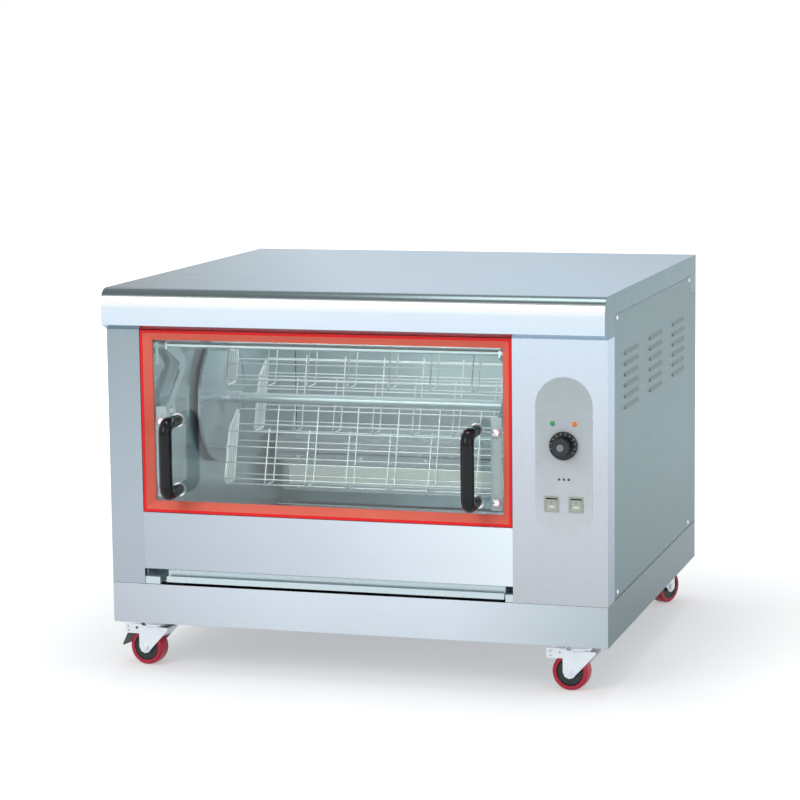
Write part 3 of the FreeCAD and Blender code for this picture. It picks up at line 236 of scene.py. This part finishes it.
# the cover, with painted reflections: a bright front with a painted highlight band, a painted dark reflection
# along the bend at its top edge, then the roof, darkest at the front left; its ends get painted shade
def coverReflectionTint(finish):
    low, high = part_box("top_cover")
    x, y, z = finish.axes()
    front = finish.node("ValToRGB", {"stops": ((0.0, (0.56, 0.64, 0.70)), (0.10, (0.64, 0.74, 0.84)),
                                               (0.55, (0.68, 0.78, 0.86)), (0.66, (0.90, 0.93, 0.94)),
                                               (0.78, (0.80, 0.84, 0.86)), (0.86, (0.12, 0.155, 0.16)),
                                               (0.975, (0.15, 0.19, 0.195)), (1.0, (0.45, 0.55, 0.62)))},
                        Fac=(z - low.z) / (high.z - low.z)).outs["Color"]
    across = (x - low.x) / (high.x - low.x) * 0.72 + (y - low.y) / (high.y - low.y) * 0.28
    roof = finish.node("ValToRGB", {"stops": ((0.0, (0.07, 0.10, 0.11)), (0.16, (0.35, 0.43, 0.48)),
                                              (0.38, (0.66, 0.79, 0.90)), (0.72, (0.58, 0.72, 0.84)),
                                              (1.0, (0.42, 0.55, 0.66)))}, Fac=across).outs["Color"]
    body = finish.mix(finish.facing("Z").above(0.985), front, roof)
    return finish.mix(finish.facing("X").above(0.7), body, steel["coverSideShade"])


coverSteel = sheetSteel("cover_sheet", coverReflectionTint, "x", 0.24)


# the side sheets are darkened as painted shade, and meet the base in a thin dark line of painted shade
def shadedSideTint(finish):
    low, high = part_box("side_panel_right")
    x, y, z = finish.axes()
    return finish.mix(z.below(low.z + 0.0022), steel["side"], (0.02, 0.024, 0.024))


sideSteel = sheetSteel("side_sheet", shadedSideTint, "y", 0.38)
wideSteel = sheetSteel("wide_sheet", steel["middle"], "x", 0.30)
polished = sheetSteel("polished_sheet", (0.60, 0.70, 0.73), "z", 0.16, metal=0.72)
burnerSteel = sheetSteel("burner_sheet", steel["pale"], "x", 0.26, metal=0.6)
dress(postSteel, "left_post")
dress(panelSteel, "control_panel")
dress(sillSteel, "lower_front_plate")
dress(plinthSteel, "base_plinth")
dress(coverSteel, "top_cover")
dress(wideSteel, "rear_panel")
dress(sheetSteel("tray_sheet", (0.62, 0.74, 0.78), "x", 0.28, metal=0.6), "drip_tray", "tray_runners")
dress(sideSteel, "side_panel_left", "side_panel_right", "rear_posts")
dress(polished, "liner_left", "liner_right", "disc_left", "disc_right")
dress(burnerSteel, "burner_housing", "burner_frame", "burner_hood")


# painted shade: a thin dark upright line on the rear wall, left of the burner
def rearWallShadeTint(finish):
    seam = {"x": -0.389, "half": 0.0016}
    x, y, z = finish.axes()
    line = ((x - seam["x"]).math("ABSOLUTE")).below(seam["half"]) * z.above(0.345)
    return finish.mix(line, (0.58, 0.70, 0.73), (0.05, 0.06, 0.06))


dress(sheetSteel("rear_wall_sheet", rearWallShadeTint, "z", 0.2, metal=0.6), "liner_back")


# bright drawn wire and bar
def drawnMetal(name, tint, gloss, across=700.0, bright=0.08, metal=1.0):
    finish = Finish(name)
    fine = finish.noise(finish.scaled(1, 6, 6), across / 6, 3.0, 0.6)
    broad = finish.noise(finish.place, 30.0, 2.0)
    colour = finish.brighter((*tint, 1), 1.0 + (broad - 0.5) * bright + (fine - 0.5) * bright)
    return finish.set(Base_Color=colour, Metallic=metal, Roughness=gloss + (fine - 0.5) * 0.1,
                      Normal=finish.bump(fine, 0.000006))


wire = drawnMetal("chromed_wire", (0.90, 0.93, 0.92), 0.16, metal=0.6)
bar = drawnMetal("drawn_bar", (0.70, 0.79, 0.82), 0.24, metal=0.7)
zinc = drawnMetal("bright_zinc", (0.78, 0.83, 0.88), 0.32, 250.0, 0.12, 0.7)
strap = drawnMetal("satin_strap", (0.62, 0.70, 0.72), 0.4, 250.0, 0.1, 0.0)
brass = drawnMetal("brass", (0.76, 0.58, 0.28), 0.28)
copper = drawnMetal("copper_pipe", (0.75, 0.42, 0.28), 0.3)
darkSteel = plastic("dark_steel", (0.06, 0.07, 0.07), 0.42)
dress(wire, "basket_1", "basket_2", "basket_3", "door_fasteners", "panel_screws", "burner_screws")
dress(bar, "rotor_shaft", "hinge_tube", "hinge_arms", "hinge_bosses", "burner_electrodes")
dress(strap, "door_brackets")
dress(zinc, "disc_hubs", "caster_plates", "fork_front_left", "fork_front_right", "fork_rear_left",
      "fork_rear_right")
dress(brass, "gas_thermostat", "gas_inlet")
dress(copper, "gas_pipes")
dress(darkSteel, "brake_pedal", "gear_motor", "shaft_bearings")

# coloured and moulded parts
blackGloss = plastic("black_moulding", (0.003, 0.004, 0.005), 0.10, 0.000003, shine=0.25)
dress(blackGloss, "door_handles", "cable_gland")
# the label overlay is lighter at the bottom and darker at the top, as painted shade
dress(plastic("label_overlay", along("label_plate", "z", (0.0, (0.62, 0.655, 0.70)),
                                     (0.5, (0.53, 0.58, 0.61)), (1.0, (0.43, 0.49, 0.51))), 0.42), "label_plate")
dress(plastic("switch_moulding", (0.40, 0.42, 0.35), 0.4), "switch_bodies")


# a switch key has a pale strip in its lower half and a dark dot above it
def keyTint(name):
    low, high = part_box(name)
    middle = (low + high) / 2

    def tint(finish):
        x, y, z = finish.axes()
        strip = ((x - middle.x).math("ABSOLUTE").below(0.0058)
                 * (z - (middle.z - 0.0042)).math("ABSOLUTE").below(0.0016))
        dot = ((x - middle.x).math("ABSOLUTE").below(0.0011)
               * (z - (middle.z + 0.0035)).math("ABSOLUTE").below(0.0011))
        body = finish.mix(strip, (0.44, 0.47, 0.41), (0.78, 0.82, 0.80))
        return finish.mix(dot, body, (0.10, 0.11, 0.10))
    return tint


for name in ("rocker_left", "rocker_right"):
    dress(plastic(name + "_moulding", keyTint(name), 0.38), name)


# pilot lamps: a coloured lens inside a pale ring, green at the left and orange at the right
lampLook = {"lens": 0.0052, "green": (0.01, 0.33, 0.14), "orange": (0.90, 0.16, 0.01),
            "ring": (0.62, 0.64, 0.62)}


def lampTint(finish):
    low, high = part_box("pilot_lamps")
    ring = (high.z - low.z) / 2
    middle = (low + high) / 2
    x, y, z = finish.axes()
    fromAxis = (x - middle.x).math("ABSOLUTE") - (high.x - ring - middle.x)
    up = z - middle.z
    spread = (fromAxis * fromAxis + up * up).math("SQRT")
    lens = finish.mix(x.above(middle.x), lampLook["green"], lampLook["orange"])
    return finish.mix(spread.above(lampLook["lens"]), lens, lampLook["ring"])


def ledTint(finish):
    low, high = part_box("status_leds")
    third = (high.x - low.x) / 3
    x = finish.axes()[0]
    first = finish.mix(x.above(low.x + third), (0.01, 0.06, 0.06), (0.06, 0.06, 0.015))
    return finish.mix(x.above(low.x + third * 2), first, (0.09, 0.012, 0.01))


dress(plastic("pilot_lens", lampTint, 0.10, 0.000002, 0.3), "pilot_lamps")
dress(plastic("led_lens", ledTint, 0.15, 0.000002, 0.3), "status_leds")


# thermostat knob: black, a bright cap in the middle and white marks round its skirt
knobLook = {"cap": 0.0070, "skirt": (0.0215, 0.0262), "marks": 16, "half": 0.016,
            "black": (0.004, 0.006, 0.008), "grip": (0.014, 0.019, 0.024)}


def knobTint(finish):
    low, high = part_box("thermostat_knob")
    middle = (low + high) / 2
    x, y, z = finish.axes()
    right, up = x - middle.x, z - middle.z
    spread = (right * right + up * up).math("SQRT")
    turn = up.math("ARCTAN2", right) / (2 * math.pi) + 0.5
    slot = ((turn * knobLook["marks"]).math("FRACT") - 0.5).math("ABSOLUTE")
    inner, outer = knobLook["skirt"]
    mark = slot.below(knobLook["half"] * 2) * spread.above(inner) * spread.below(outer)
    mark = mark * (1 - up.below(-0.018))
    cap = spread.below(knobLook["cap"]) * y.below(low.y + 0.004)
    grip = spread.below(0.0172) * y.below(low.y + 0.003)
    colour = finish.mix(grip, knobLook["black"], knobLook["grip"])
    return finish.mix(cap, finish.mix(mark, colour, (0.50, 0.55, 0.58)), (0.20, 0.23, 0.27))


dress(plastic("knob_moulding", knobTint, 0.24, 0.000004, shine=0.4), "thermostat_knob")


# coral door frame: a bright red glossy lip outside, a matt coral slope inside
def coralFrame():
    finish = Finish("coral_frame")
    low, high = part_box("door_frame")
    x, y, z = finish.axes()
    lip = (y - (low.y + 0.0006)).below(0.0)
    grain = finish.noise(finish.place, 300.0, 3.0)
    cloud = finish.noise(finish.place, 12.0, 2.0)
    coral = finish.mix(cloud, (0.88, 0.135, 0.085), (0.92, 0.20, 0.14))
    colour = finish.mix(lip, coral, (0.90, 0.006, 0.010))
    rough = 0.5 + (grain - 0.5) * 0.2 - lip * 0.25
    return finish.set(Base_Color=colour, Roughness=rough, Specular_IOR_Level=0.3,
                      Normal=finish.bump(grain, 0.00002))


dress(coralFrame(), "door_frame")


# perforated ceramic plates, each hole painted darker as painted shade inside the perforation
def ceramic():
    finish = Finish("perforated_ceramic")
    x, y, z = finish.axes()
    pitch = 0.0042
    row = (z / (pitch * 0.866)).math("FLOOR")
    shift = (row / 2).math("FRACT")
    u = (x / pitch + shift).math("FRACT") - 0.5
    v = (z / (pitch * 0.866)).math("FRACT") - 0.5
    spread = (u * u + v * v * 0.75).math("SQRT")
    shadedHole = 1 - ((spread - 0.22) * 12).clamped()
    cloud = finish.noise(finish.place, 18.0, 4.0)
    body = finish.mix(cloud, (0.80, 0.84, 0.77), (0.90, 0.93, 0.87))
    colour = finish.mix(shadedHole, body, (0.36, 0.37, 0.33))
    return finish.set(Base_Color=colour, Roughness=0.85, Normal=finish.bump(1 - shadedHole, 0.0004))


dress(ceramic(), "ceramic_plates")


# red tread on a dark rim, told apart by the distance from the middle of the wheel
def wheelFinish(name):
    finish = Finish(name + "_finish")
    low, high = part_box(name)
    middle = tuple((low + high) / 2)
    away = finish.node("VectorMath", {"operation": "DISTANCE", "second": middle}, Vector=finish.place)
    tread = away.outs["Value"].above(0.0318)
    fine = finish.noise(finish.place, 260.0, 3.0)
    cloud = finish.noise(finish.place, 40.0, 3.0)
    red = finish.mix(cloud, (0.42, 0.004, 0.024), (0.58, 0.010, 0.045))
    rim = finish.mix(fine, (0.008, 0.010, 0.010), (0.03, 0.035, 0.034))
    return finish.set(Base_Color=finish.mix(tread, rim, red), Roughness=0.34 + (cloud - 0.5) * 0.2,
                      Normal=finish.bump(fine, 0.00002))


for name in ("wheel_front_left", "wheel_front_right", "wheel_rear_left", "wheel_rear_right"):
    dress(wheelFinish(name), name)


# clear pane with a faint green body, which lets lamps and soft light through
def paneFinish():
    finish = Finish("clear_pane")
    tree = finish.tree
    marks = finish.noise(finish.place, 9.0, 3.0)
    colour = finish.mix(marks, (0.86, 0.95, 0.94), (0.92, 0.99, 0.98))
    finish.set(Base_Color=colour, Roughness=0.02 + marks * 0.01)
    finish.shader.inputs["Transmission Weight"].default_value = 1.0
    finish.shader.inputs["IOR"].default_value = 1.45
    ray = finish.node("LightPath").outs
    through = tree.nodes.new("ShaderNodeBsdfTransparent")
    through.inputs["Color"].default_value = (0.93, 0.97, 0.965, 1)
    blend = tree.nodes.new("ShaderNodeMixShader")
    tree.links.new((ray["Is Shadow Ray"] + ray["Is Diffuse Ray"]).clamped().out, blend.inputs[0])
    tree.links.new(finish.shader.outputs[0], blend.inputs[1])
    tree.links.new(through.outputs[0], blend.inputs[2])
    tree.links.new(blend.outputs[0], tree.nodes["Material Output"].inputs["Surface"])
    return finish.material


dress(paneFinish(), "door_glass")
print("materials done")


# floor, lights and world
stageSize = {"half": 12.0, "near": 0.9, "fade": 2.2, "glow": 0.34, "rise": 0.50}
bpy.ops.object.select_all(action="DESELECT")
bpy.ops.mesh.primitive_plane_add(size=stageSize["half"] * 2, location=(0, 0, 0))
floor = bpy.context.object
floor.name = "floor"
floorFinish = Finish("floor_paint")
tree = floorFinish.tree
ray = floorFinish.node("LightPath").outs
speck = floorFinish.noise(floorFinish.place, 3.0, 2.0)
floorFinish.set(Base_Color=floorFinish.mix(speck, (0.72, 0.72, 0.72), (0.75, 0.75, 0.75)), Roughness=0.9)
glow = tree.nodes.new("ShaderNodeEmission")
seen = (ray["Is Camera Ray"] + ray["Is Glossy Ray"] + ray["Is Transmission Ray"]).clamped()
away = floorFinish.node("VectorMath", {"operation": "LENGTH"}, Vector=floorFinish.place).outs["Value"]
spread = ((away - stageSize["near"]) / stageSize["fade"]).clamped()
tree.links.new((seen * (stageSize["glow"] + spread * stageSize["rise"])).out, glow.inputs["Strength"])
both = tree.nodes.new("ShaderNodeAddShader")
tree.links.new(floorFinish.shader.outputs[0], both.inputs[0])
tree.links.new(glow.outputs[0], both.inputs[1])
tree.links.new(both.outputs[0], tree.nodes["Material Output"].inputs["Surface"])
floor.data.materials.append(floorFinish.material)

world = bpy.data.worlds.new("studio")
scene.world = world
world.use_nodes = True
tree = world.node_tree
tree.nodes.clear()
output = tree.nodes.new("ShaderNodeOutputWorld")
path = tree.nodes.new("ShaderNodeLightPath")
seen = (Sock(tree, path.outputs["Is Camera Ray"]) + Sock(tree, path.outputs["Is Glossy Ray"])
        + Sock(tree, path.outputs["Is Transmission Ray"])).clamped()
soft = tree.nodes.new("ShaderNodeBackground")
soft.inputs["Color"].default_value = (0.94, 0.97, 1.0, 1)
soft.inputs["Strength"].default_value = 0.60
white = tree.nodes.new("ShaderNodeBackground")
white.inputs["Color"].default_value = (1, 1, 1, 1)
white.inputs["Strength"].default_value = 1.0
choose = tree.nodes.new("ShaderNodeMixShader")
tree.links.new(seen.out, choose.inputs[0])
tree.links.new(soft.outputs[0], choose.inputs[1])
tree.links.new(white.outputs[0], choose.inputs[2])
tree.links.new(choose.outputs[0], output.inputs["Surface"])


def softLight(name, place, target, size, watts, tint=(1, 1, 1)):
    data = bpy.data.lights.new(name, "AREA")
    data.shape = "RECTANGLE"
    data.size, data.size_y = size
    data.energy = watts
    data.color = tint
    lamp = bpy.data.objects.new(name, data)
    scene.collection.objects.link(lamp)
    lamp.location = place
    lamp.rotation_mode = "QUATERNION"
    lamp.rotation_quaternion = (Vector(target) - Vector(place)).to_track_quat("-Z", "Y")
    return lamp


softLight("key", (-1.2, -3.6, 2.6), (0, 0, 0.4), (2.2, 2.2), 46)
softLight("top", (0.0, 0.0, 4.0), (0, 0, 0), (1.6, 1.6), 52)
softLight("fill", (3.4, -2.6, 1.6), (0, 0, 0.4), (2.0, 2.0), 14)
cavity = softLight("cavity", (-0.06, 0.06, 0.745), (-0.06, 0.12, 0.3), (0.62, 0.42), 4.3)
cavity.visible_glossy = False
print("stage done")

scene.view_settings.view_transform = "Standard"
